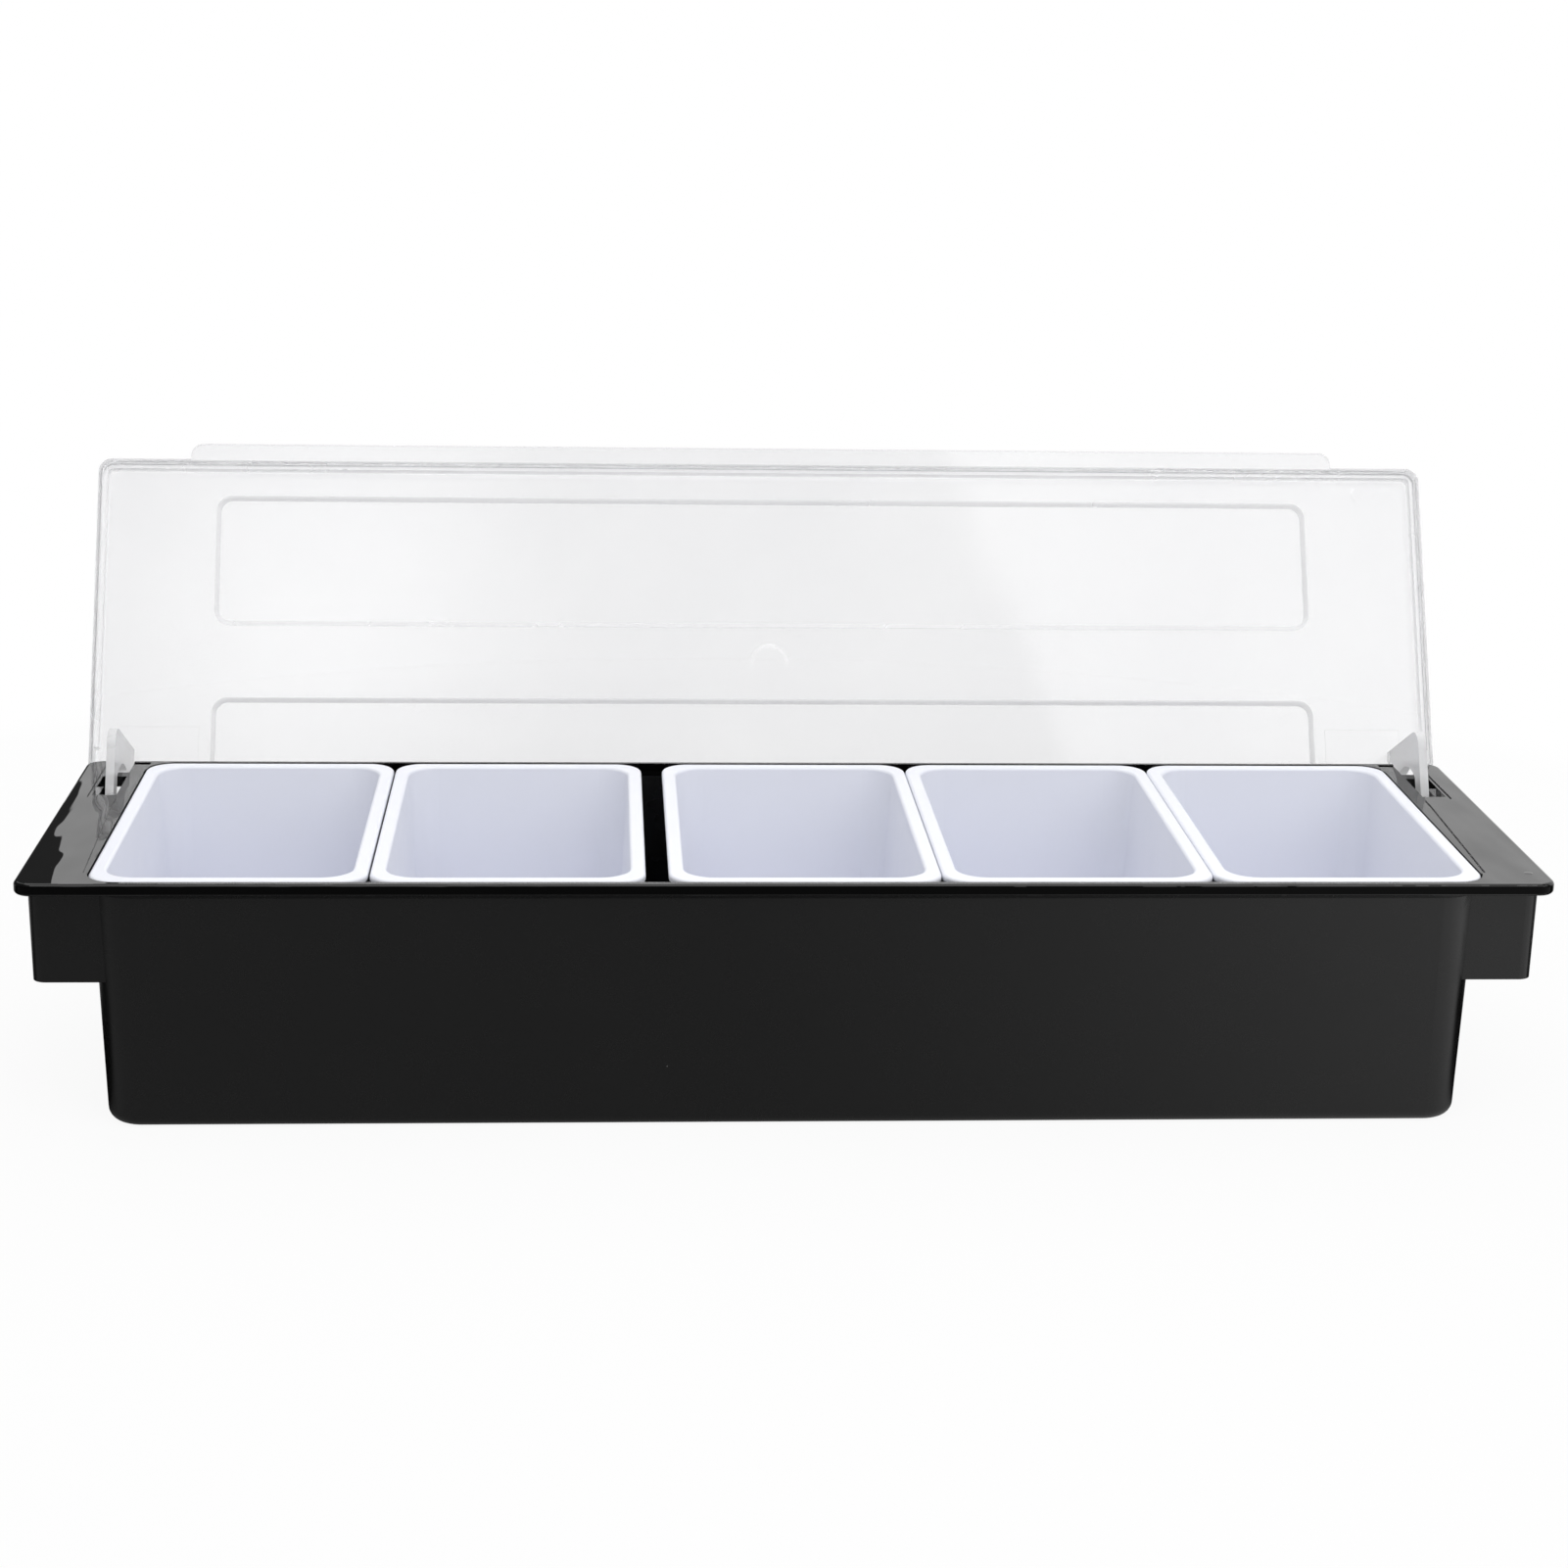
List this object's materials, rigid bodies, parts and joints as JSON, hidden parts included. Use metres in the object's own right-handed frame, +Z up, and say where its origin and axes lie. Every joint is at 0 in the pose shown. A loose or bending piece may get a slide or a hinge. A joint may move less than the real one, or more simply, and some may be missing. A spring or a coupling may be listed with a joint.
{
  "type": "condiment caddy",
  "caption": "Long black condiment caddy with white lift-out inserts, end grips and one clear hinged lid that stands open behind the rim.",
  "frame": {"origin": "centre of the tray's footprint, on the table", "axes": "+X along the row of inserts to the viewer's right, -Y to the side the lid opens on, +Z up"},
  "size_m": [0.5, 0.2196, 0.1901],
  "materials": {
    "tray_black": "gloss",
    "lid_clear": "clear gloss plastic",
    "insert_white": "semi-gloss"
  },
  "bodies": {
    "tray": {"base_tray": "tray_black"},
    "lid": {"lid": "lid_clear"},
    "insert_1": {"insert_1": "insert_white"},
    "insert_2": {"insert_2": "insert_white"},
    "insert_3": {"insert_3": "insert_white"},
    "insert_4": {"insert_4": "insert_white"},
    "insert_5": {"insert_5": "insert_white"}
  },
  "joints": [
    {"name": "lid_hinge", "type": "hinge", "parent": "tray", "child": "lid", "pos_m": [0, 0.0613, 0.0676], "axis": [-1, 0, 0], "range_deg": [-116.8, 0]},
    {"name": "insert_1_lift", "type": "slide", "parent": "tray", "child": "insert_1", "axis": [0, 0, 1], "range_m": [0, 0.09]},
    {"name": "insert_2_lift", "type": "slide", "parent": "tray", "child": "insert_2", "axis": [0, 0, 1], "range_m": [0, 0.09]},
    {"name": "insert_3_lift", "type": "slide", "parent": "tray", "child": "insert_3", "axis": [0, 0, 1], "range_m": [0, 0.09]},
    {"name": "insert_4_lift", "type": "slide", "parent": "tray", "child": "insert_4", "axis": [0, 0, 1], "range_m": [0, 0.09]},
    {"name": "insert_5_lift", "type": "slide", "parent": "tray", "child": "insert_5", "axis": [0, 0, 1], "range_m": [0, 0.09]}
  ]
}
